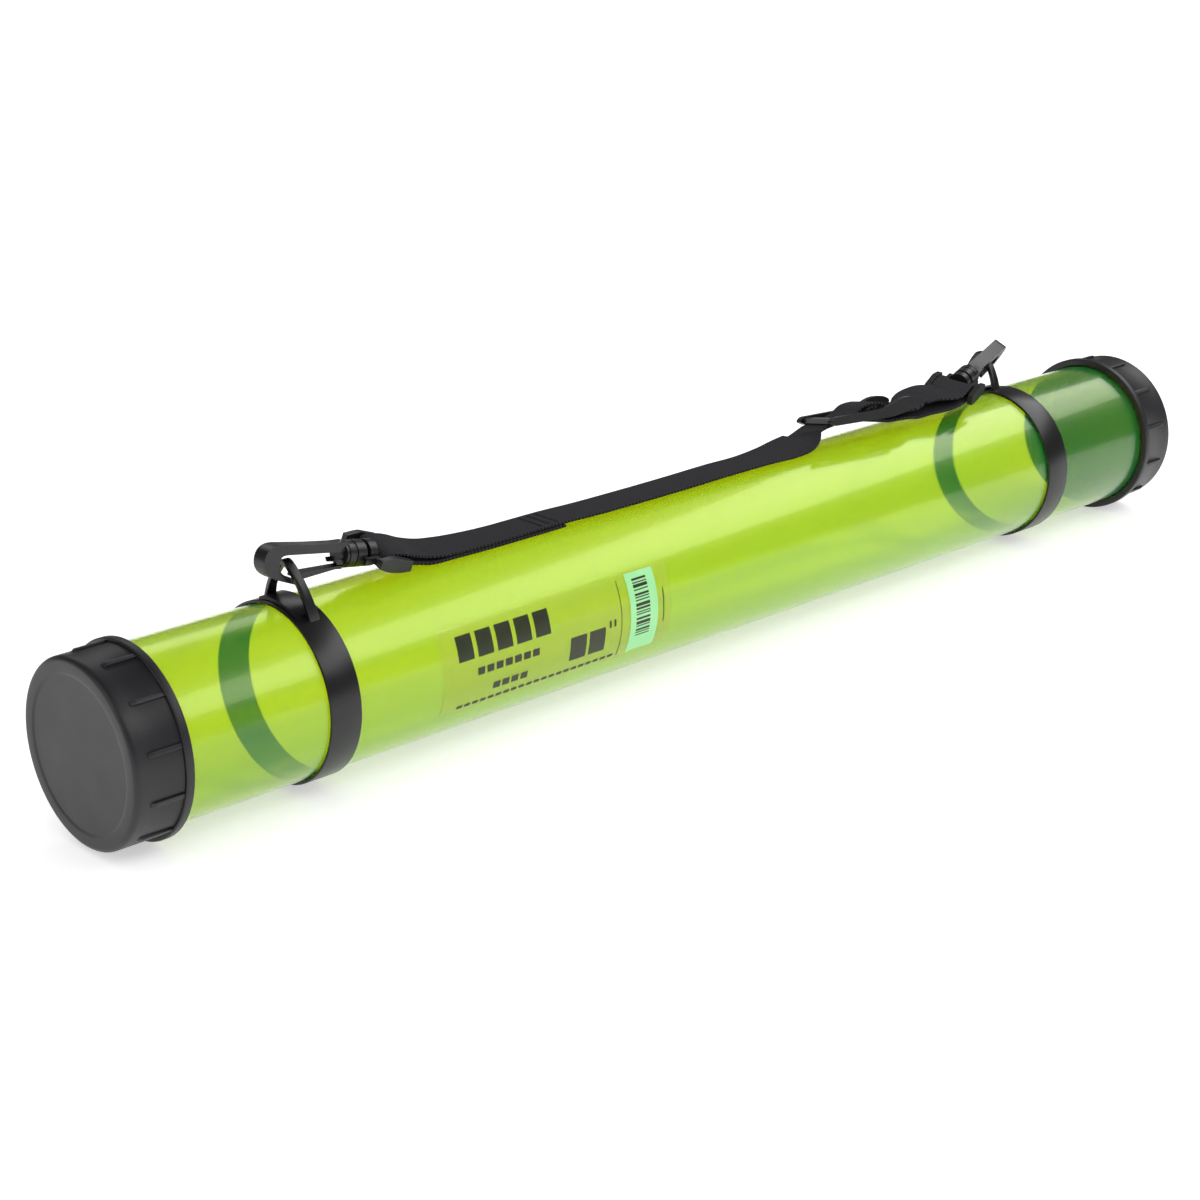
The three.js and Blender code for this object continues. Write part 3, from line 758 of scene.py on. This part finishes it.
@dataclass
class Cap:
    """A push-on end cap with a shallow face panel, grip ribs and an end flange."""

    end: End
    material: bpy.types.Material
    depth: float = 25.6
    face_x: float = 337.5
    inner: float = 38.25
    skirt: float = 39.85
    flange: float = 41.85
    flange_width: float = 3.9
    edge_round: float = 2.4
    lip_round: float = 0.7
    chamfer: float = 0.3
    stop_radius: float = 36.1
    stop_depth: float = 7.0
    plate: float = 2.2
    ribs: int = 12
    rib_phase: float = 15.5
    rib_width: float = 2.2
    rib_round: float = 0.35
    rib_start: float = 6.6
    sides: int = 192

    def profile(self) -> np.ndarray:
        """The cap's section as rows of radius and distance behind the face.

        Returns:
            The profile from the middle of the face round to the middle inside.
        """
        large, small = self.edge_round, self.lip_round
        flange_back, middle = self.depth - self.flange_width, 1e-4
        panel = [[middle, 0.45], [16, 0.45], [31.8, 0.45], [32.3, 0.42], [32.8, 0.3], [33.2, 0.1]]
        arc = np.radians(np.linspace(0, 90, 9))
        round_edge = np.stack(
            [self.skirt - large + large * np.sin(arc), large * (1 - np.cos(arc))], axis=1
        )
        lip = np.radians(np.linspace(0, 90, 5))
        top = np.stack(
            [self.flange - small + small * np.sin(lip), flange_back + small * (1 - np.cos(lip))],
            axis=1,
        )
        low = np.stack(
            [self.flange - small + small * np.cos(lip), self.depth - small + small * np.sin(lip)],
            axis=1,
        )
        return np.concatenate(
            [
                [*panel, [33.7, 0]],
                round_edge,
                [[self.skirt, 6.0], [self.skirt, flange_back - 0.4]],
                [[self.skirt + self.chamfer, flange_back]],
                top,
                low,
                [[self.inner + self.chamfer, self.depth], [self.inner, self.depth - self.chamfer]],
                [[self.inner, self.stop_depth], [self.stop_radius, self.stop_depth]],
                [[self.stop_radius, self.plate], [middle, self.plate]],
            ]
        )

    def build(self) -> bpy.types.Object:
        """Makes the cap.

        Returns:
            The piece, riding on its own body.
        """
        side = self.end.value
        profile = self.profile()
        angle = np.linspace(0, 360, self.sides, endpoint=False)
        x = side * (self.face_x - profile[:, 1])
        rings = around(x[:, None], profile[:, 0][:, None], angle[None, :])
        shell = Shell()
        shell.tube(rings)
        section = rounded_section(self.rib_width, self.rib_width, self.rib_round)
        start, end = self.rib_start, self.depth - self.flange_width + 0.8
        reach = np.linspace(start, end, 12)
        sink = np.where(reach < start + 1, 0.9 * (1 - (reach - start)) ** 2, 0.0)
        for i in range(self.ribs):
            middle = self.rib_phase + 360 / self.ribs * i
            radius = self.skirt + section[None, :, 1] - sink[:, None]
            spread = np.degrees(section[None, :, 0] / self.skirt)
            where = side * (self.face_x - reach)
            shell.tube(around(where[:, None], radius, middle + spread))
        name = f"{self.end.name.lower()}_cap"
        piece = shell.build(f"{name}_moulding", [self.material], smooth_angle=40.0)
        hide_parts(name)
        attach(piece, name)
        return piece


@dataclass
class Ring:
    """A collar ring with the loop that a hook holds."""

    end: End
    material: bpy.types.Material
    lean: float
    sway: float
    centre: float = 236.5
    width: float = 15.6
    inner: float = 38.25
    loop_height: float = 22.0
    half_span: float = 16.0
    sharpness: float = 1.4
    thickness: float = 2.6
    loop_width: float = 4.0
    foot_flare: float = 1.6
    foot_sink: float = 0.6
    foot_shift: float = -1.5
    top_shift: float = 1.6
    stations: int = 81
    sides: int = 192

    def band(self) -> np.ndarray:
        """Rings of corners of the band, whose outside edges are rounded.

        Returns:
            An array of stations round the axis by corners by three.
        """
        section = rounded_section(self.width, RING_OUTSIDE - self.inner, 0.45)
        middle = (RING_OUTSIDE + self.inner) / 2
        angle = np.linspace(0, 360, self.sides, endpoint=False)
        x = self.end.value * self.centre + section[:, 0]
        return around(x[None, :], (middle + section[:, 1])[None, :], angle[:, None])

    def place(self, x: np.ndarray, y: np.ndarray, z: np.ndarray) -> np.ndarray:
        """Turns points of the upright ring to where its loop leans.

        Args:
            x: Places along the tube.
            y: Places across it.
            z: Heights above the axis.
        Returns:
            Points as rows of x, y, z in the part's frame.
        """
        turn = math.radians(self.lean)
        x, y, z = np.broadcast_arrays(x, y, z)
        out_y = y * math.cos(turn) - z * math.sin(turn)
        out_z = y * math.sin(turn) + z * math.cos(turn)
        return np.stack([x, out_y, AXIS_HEIGHT + out_z], axis=-1)

    def loop(self) -> np.ndarray:
        """Rings of corners of the loop: height = H (1 - s^p)^(1/p) over the half span share s.

        Returns:
            An array of stations along the loop by corners by three.
        """
        side = self.end.value
        share = -np.cos(np.linspace(0, math.pi, self.stations))
        power = self.sharpness
        rise = self.loop_height * np.maximum(0, 1 - np.abs(share) ** power) ** (1 / power)
        foot = math.sqrt(RING_OUTSIDE**2 - self.half_span**2) - self.foot_sink
        y = share * (self.half_span - self.thickness / 2) + self.sway * rise / self.loop_height
        shift = np.interp(rise / self.loop_height, [0, 1], [self.foot_shift, self.top_shift])
        x = side * (self.centre + shift)
        z = foot + rise
        tangent = np.gradient(np.stack([y, z], axis=1), axis=0)
        tangent /= np.linalg.norm(tangent, axis=1)[:, None]
        far = np.abs(np.linspace(-1, 1, self.stations)) ** 3
        width = self.loop_width + self.foot_flare * far
        section = rounded_section(1.0, 1.0, 0.22)
        sx = x[:, None] + section[None, :, 0] * width[:, None]
        out = section[None, :, 1] * self.thickness
        sy = y[:, None] - tangent[:, 1][:, None] * out
        sz = z[:, None] + tangent[:, 0][:, None] * out
        return self.place(sx, sy, sz)

    def saddle(self) -> np.ndarray:
        """Rings of corners of the raised pad between the loop's legs.

        Returns:
            An array of stations round the axis by corners by three.
        """
        section = rounded_section(12.0, 1.7, 0.5)
        angle = np.linspace(-18, 18, 25)
        radius = RING_OUTSIDE + 0.35 + section[:, 1]
        turn = np.radians(angle)
        x = self.end.value * self.centre + section[:, 0]
        y = radius[None, :] * np.sin(turn)[:, None]
        z = radius[None, :] * np.cos(turn)[:, None]
        return self.place(x[None, :], y, z)

    def build(self) -> bpy.types.Object:
        """Makes the ring.

        Returns:
            The piece, riding on the harness.
        """
        shell = Shell()
        shell.hoop(self.band())
        shell.tube(self.loop())
        shell.tube(self.saddle())
        name = f"{self.end.name.lower()}_ring"
        piece = shell.build(f"{name}_moulding", [self.material])
        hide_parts(name)
        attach(piece, "harness")
        return piece


@dataclass(frozen=True)
class Place:
    """Where a hook end or the slider sits, above the tube's axis, and its turns in degrees."""

    x: float
    y: float
    z: float
    yaw: float
    pitch: float
    roll: float

    def point(self, along: float, up: float) -> np.ndarray:
        """A point of the piece's own middle plane, in the part's frame.

        Args:
            along: Distance along the piece.
            up: Distance above its own middle.
        Returns:
            The point.
        """
        local = turn_matrix(self.yaw, self.pitch, self.roll) @ np.array([along, 0, up])
        return local + np.array([self.x, self.y, self.z + AXIS_HEIGHT])

    def across(self, sign: float = 1.0) -> np.ndarray:
        """The direction across the piece.

        Args:
            sign: 1, or -1 where the webbing comes back the other way.
        Returns:
            A unit vector.
        """
        return turn_matrix(self.yaw, self.pitch, self.roll) @ np.array([0, sign, 0])


FRONT_BAR = Place(-208.6, -3.4, 53.2, 184, -11, -15)
REAR_BAR = Place(210, 2.7, 51.6, 18, -5.5, 8)
SLIDER = Place(117.6, -2.2, 50.1, -9, 0, -12)


@dataclass
class Webbing:
    """The one length of webbing: round the front bar, through the slider and round the rear bar."""

    material: bpy.types.Material
    thread: bpy.types.Material
    width: float = 19.0
    thickness: float = 1.5
    gap: float = 0.3
    bar_place: float = -19.9
    bar_radius: float = 1.9
    slider_bar: float = 25.0
    rod_radius: float = 1.6
    slider_bar_height: float = 2.4
    sewn: tuple = (-104, -90)
    stitches_across: int = 9
    stitch_start: float = -8.2
    stitch_pitch: float = 1.85
    stitch_length: float = 1.4
    thread_radius: float = 0.22

    def open_place(self, x: float, y: float, z: float, roll: float) -> np.ndarray:
        """A row of the route in the open: the place and the direction across.

        Args:
            x: Place along the tube.
            y: Place across it.
            z: Height above the axis.
            roll: Tilt of the webbing in degrees.
        Returns:
            Six numbers.
        """
        turn = math.radians(roll)
        return np.array([x, y, z + AXIS_HEIGHT, 0, math.cos(turn), math.sin(turn)])

    def held(self, place: Place, along: float, up: float, sign: float = 1.0) -> np.ndarray:
        """A row of the route held by a piece.

        Args:
            place: The piece.
            along: Distance along it.
            up: Distance above its middle.
            sign: Which way the webbing's sides face.
        Returns:
            Six numbers.
        """
        return np.concatenate([place.point(along, up), place.across(sign)])

    def wrap(
        self, place: Place, along: float, radius: float, start: float, end: float, sign: float
    ) -> list:
        """Rows of the route round a bar.

        Args:
            place: The piece with the bar.
            along: The bar's distance along it.
            radius: Radius of the route.
            start: First angle in degrees.
            end: Last angle in degrees.
            sign: Which way the webbing's sides face.
        Returns:
            Rows of six numbers.
        """
        rows = []
        for angle in np.radians(np.linspace(start, end, 7)):
            rows.append(
                self.held(place, along + radius * math.cos(angle), radius * math.sin(angle), sign)
            )
        return rows

    def route(self) -> np.ndarray:
        """The webbing's middle line with the direction across it.

        Returns:
            Rows of six numbers.
        """
        half = self.thickness / 2
        wrap = self.bar_radius + self.gap + half
        loop = self.rod_radius + self.gap + half
        under = -(self.slider_bar_height + self.thickness) / 2 - self.gap
        over = loop + self.thickness + self.gap
        low = TUBE_RADIUS + 2 * self.gap + half
        high = low + self.thickness + self.gap
        bar, rail = self.bar_place, self.slider_bar
        front = [
            self.open_place(-88, 0, low, 0),
            self.open_place(-112, 0, low, 0),
            self.open_place(-134, 0, low + 0.2, 1),
            self.open_place(-152, -0.4, low + 1, 3),
            self.open_place(-166, -0.8, low + 2.2, 7),
            self.held(FRONT_BAR, bar - 12, -wrap + 0.9, -1),
            self.held(FRONT_BAR, bar - 5, -wrap + 0.1, -1),
            *self.wrap(FRONT_BAR, bar, wrap, -100, 90, -1),
            self.held(FRONT_BAR, bar - 5, wrap, -1),
            self.held(FRONT_BAR, bar - 11, wrap - 0.8, -1),
        ]
        middle = [
            self.open_place(*row)
            for row in (
                (-171, -1.1, 46.6, 12), (-162, -1, 44.2, 9), (-150, -0.5, 42.6, 6),
                (-136, -0.2, 41.7, 3), (-120, 0, 41.2, 1), (-104, 0, high + 0.1, 0),
                (-88, 0, high, 0), (-70, 0, 40.6, 0), (-40, 0, 40.3, 0), (-10, 0, 40.3, 0),
                (20, 0, 40.6, 0), (42, 0, 40.5, 0), (54, -0.3, 41, 4), (65, -0.8, 41.9, 11),
                (75, -0.9, 43.2, 10),
            )
        ]
        through = [
            self.held(SLIDER, -rail - 9, under - 2.4),
            self.held(SLIDER, -rail - 4, under - 0.6),
            self.held(SLIDER, -rail, under),
            self.held(SLIDER, -rail * 0.72, under + 0.8),
            self.held(SLIDER, -rail * 0.42, 0.8),
            self.held(SLIDER, -rail * 0.18, over - 0.6),
            self.held(SLIDER, 0, over),
            self.held(SLIDER, rail * 0.2, over - 0.3),
            self.held(SLIDER, rail * 0.45, 1.6),
            self.held(SLIDER, rail * 0.75, under + 0.6),
            self.held(SLIDER, rail, under),
            self.held(SLIDER, rail + 5, under),
        ]
        rear = [
            self.open_place(156, -3, 50, 3),
            self.open_place(166, -4, 51.3, 8),
            self.held(REAR_BAR, bar - 12, wrap - 0.6),
            self.held(REAR_BAR, bar - 5, wrap),
            *self.wrap(REAR_BAR, bar, wrap, 90, -90, 1),
            self.held(REAR_BAR, bar - 5, -wrap),
            self.held(REAR_BAR, bar - 12, -wrap + 0.4),
            self.open_place(162, -4, 44.4, 6),
            self.open_place(150, -3, 43.4, 2),
        ]
        back = [
            self.held(SLIDER, rail - 6, under - 3.6),
            self.held(SLIDER, 9, -loop - 2.6),
            self.held(SLIDER, 4, -loop - 0.6),
            *self.wrap(SLIDER, 0, loop, -90, -270, 1),
            self.held(SLIDER, 4.6, loop - 0.2),
        ]
        return np.array([*front, *middle, *through, *rear, *back])

    def build(self) -> list:
        """Makes the webbing and its stitches.

        Returns:
            The pieces, riding on the harness.
        """
        rows, run = smooth_path(self.route(), spacing=1.6)
        place, across = rows[:, :3], rows[:, 3:]
        tangent = np.gradient(place, axis=0)
        tangent /= np.linalg.norm(tangent, axis=1)[:, None]
        normal = np.cross(tangent, across)
        normal /= np.linalg.norm(normal, axis=1)[:, None]
        side = np.cross(normal, tangent)
        section = rounded_section(self.width, self.thickness, 0.6)
        rings = (
            place[:, None, :]
            + side[:, None, :] * section[None, :, :1]
            + normal[:, None, :] * section[None, :, 1:]
        )
        ring_uv = np.empty((len(run), len(section), 2))
        ring_uv[:, :, 0] = section[None, :, 0]
        ring_uv[:, :, 1] = run[:, None]
        shell = Shell()
        shell.tube(rings, uv=ring_uv)
        strap = shell.build("strap_webbing", [self.material], smooth_angle=60.0)
        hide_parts("strap")
        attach(strap, "harness")
        return [strap, self.stitches(place, side, normal, run)]

    def stitches(self, place, side, normal, run) -> bpy.types.Object:
        """Three rows of stitches across the webbing where its end is sewn back.

        Args:
            place: The route's points.
            side: The directions across.
            normal: The directions out of the upper face.
            run: The distance along at each point.
        Returns:
            The piece, riding on the harness.
        """
        first_layer_end = 120
        sewn = (place[:, 0] > self.sewn[0]) & (place[:, 0] < self.sewn[1])
        upper = np.where(sewn & (run > first_layer_end))[0]
        radius = self.thread_radius
        t = np.linspace(0, 1, 7)
        turn = np.linspace(0, 2 * math.pi, 8, endpoint=False)
        arch = self.thickness / 2 + 0.05 + radius * np.sin(np.pi * t)
        shell = Shell()
        for station in (upper[1], upper[4], upper[-2]):
            ahead = np.cross(side[station], normal[station])
            for k in range(self.stitches_across):
                start = self.stitch_start + k * self.stitch_pitch
                line = (
                    place[station]
                    + side[station] * (start + self.stitch_length * t)[:, None]
                    + normal[station] * arch[:, None]
                )
                ring = (
                    line[:, None, :]
                    + ahead * (radius * np.cos(turn))[None, :, None]
                    + normal[station] * (radius * np.sin(turn))[None, :, None]
                )
                shell.tube(ring)
        piece = shell.build("strap_stitches", [self.thread])
        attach(piece, "harness")
        return piece


@dataclass
class HookEnd:
    """A snap hook with its gate, and the strap bar behind its swivel."""

    end: End
    material: bpy.types.Material

    def build(self) -> list:
        """Makes the three mouldings.

        Returns:
            The pieces, each on its own body.
        """
        prefix = self.end.name.lower()
        made = []
        for node, body, rounding in (
            (f"{prefix}_hook", f"{prefix}_hook", 0.55),
            (f"{prefix}_gate", f"{prefix}_gate", 0.3),
            (f"{prefix}_strap_bar", "harness", 0.45),
        ):
            piece = moulded_copy(node, f"{node}_moulding", self.material, rounding)
            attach(piece, body)
            made.append(piece)
        return made


# Studio


def make_camera() -> None:
    """Sets the camera where the photograph was taken from."""
    forward = Vector(CAMERA_FORWARD).normalized()
    right = Vector(CAMERA_RIGHT).normalized()
    up = right.cross(forward)
    lens = bpy.data.cameras.new("camera")
    lens.lens = LENS_MM
    lens.sensor_width = SENSOR_MM
    lens.clip_start, lens.clip_end = 0.05, 60.0
    camera = bpy.data.objects.new("camera", lens)
    turn = Matrix((right, up, -forward)).transposed().to_4x4()
    camera.matrix_world = Matrix.Translation(CAMERA_PLACE) @ turn
    bpy.context.scene.collection.objects.link(camera)
    bpy.context.scene.camera = camera


def area_light(name: str, place: tuple, target: tuple, size: tuple, power: float) -> None:
    """Adds a soft rectangular light.

    Args:
        name: Its name.
        place: Where it stands, in metres.
        target: What it points at, in metres.
        size: Its two sides, in metres.
        power: Its power in watts.
    """
    data = bpy.data.lights.new(name, "AREA")
    data.shape = "RECTANGLE"
    data.size, data.size_y = size
    data.energy = power
    light = bpy.data.objects.new(name, data)
    light.location = place
    aim = (Vector(target) - Vector(place)).normalized()
    light.rotation_mode = "QUATERNION"
    light.rotation_quaternion = aim.to_track_quat("-Z", "Y")
    bpy.context.scene.collection.objects.link(light)


def make_studio() -> None:
    """Makes the pale floor, the soft lights and the white background."""
    bpy.context.scene.view_settings.view_transform = "Standard"
    material, tree, output = new_material("pale_floor")
    shader = add_node(
        tree, "ShaderNodeBsdfPrincipled", {"Base Color": (0.93, 0.93, 0.93, 1), "Roughness": 0.9}
    )
    glow = add_node(tree, "ShaderNodeEmission", {"Color": (1, 1, 1, 1), "Strength": 2.0})
    lit = add_node(
        tree,
        "ShaderNodeMixShader",
        {0: 0.25, 1: shader.outputs["BSDF"], 2: glow.outputs["Emission"]},
    )
    tree.links.new(lit.outputs["Shader"], output.inputs["Surface"])
    mesh = bpy.data.meshes.new("floor")
    corners = [(x * FLOOR_HALF, y * FLOOR_HALF, 0) for x, y in ((-1, -1), (1, -1), (1, 1), (-1, 1))]
    mesh.from_pydata(corners, [], [(0, 1, 2, 3)])
    mesh.materials.append(material)
    floor = bpy.data.objects.new("floor", mesh)
    bpy.context.scene.collection.objects.link(floor)

    world = bpy.data.worlds.new("studio")
    bpy.context.scene.world = world
    world.use_nodes = True
    tree = world.node_tree
    tree.nodes.clear()
    ray = add_node(tree, "ShaderNodeLightPath")
    seen = math_node(
        tree, "MAXIMUM", ray.outputs["Is Camera Ray"], ray.outputs["Is Transmission Ray"]
    )
    fill, dim, white = (
        add_node(tree, "ShaderNodeBackground", {"Color": (1, 1, 1, 1), "Strength": strength})
        for strength in (0.75, 0.12, 1.0)
    )
    unlit = add_node(
        tree,
        "ShaderNodeMixShader",
        {0: ray.outputs["Is Glossy Ray"], 1: fill.outputs[0], 2: dim.outputs[0]},
    )
    mixed = add_node(
        tree,
        "ShaderNodeMixShader",
        {0: seen, 1: unlit.outputs[0], 2: white.outputs[0]},
    )
    output = tree.nodes.new("ShaderNodeOutputWorld")
    tree.links.new(mixed.outputs["Shader"], output.inputs["Surface"])

    area_light("key", (-0.5, -1.3, 1.5), (0, 0, 0.05), (1.8, 0.7), 7.0)
    area_light("back", (0.5, 1.4, 1.3), (0, 0, 0.05), (1.8, 0.6), 5.0)
    area_light("side", (-1.8, 0.2, 0.8), (-0.2, 0, 0.05), (0.9, 0.7), 4.0)
    area_light("band", (1.15, -0.6, 1.2), (0.1, 0, 0.08), (2.6, 0.7), 16.0)


def main() -> None:
    logging.basicConfig(level=logging.INFO, format="%(name)s: %(message)s")
    make_camera()
    make_studio()
    tube = tinted_clear(CLEAR_TUBE, scatter="2cc458", share=0.13, coat=0.9)
    sheet = tinted_clear(CLEAR_FILM, scatter="c4e05a", share=0.02, coat=0.1)
    cap = moulded_plastic(CAP_PLASTIC)
    ring = moulded_plastic(RING_PLASTIC)
    hook = moulded_plastic(HOOK_PLASTIC)
    Body(tube).build()
    Film(sheet, moulded_plastic(INK), moulded_plastic(PANEL)).build()
    for end in End:
        Cap(end, cap).build()
        HookEnd(end, hook).build()
    Ring(End.FRONT, ring, lean=5, sway=0).build()
    Ring(End.REAR, ring, lean=-28, sway=-10).build()
    slider = moulded_copy("slider", "slider_moulding", hook, rounding=0.5)
    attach(slider, "harness")
    Webbing(woven(WEBBING), moulded_plastic(THREAD)).build()


if __name__ == "__main__":
    main()
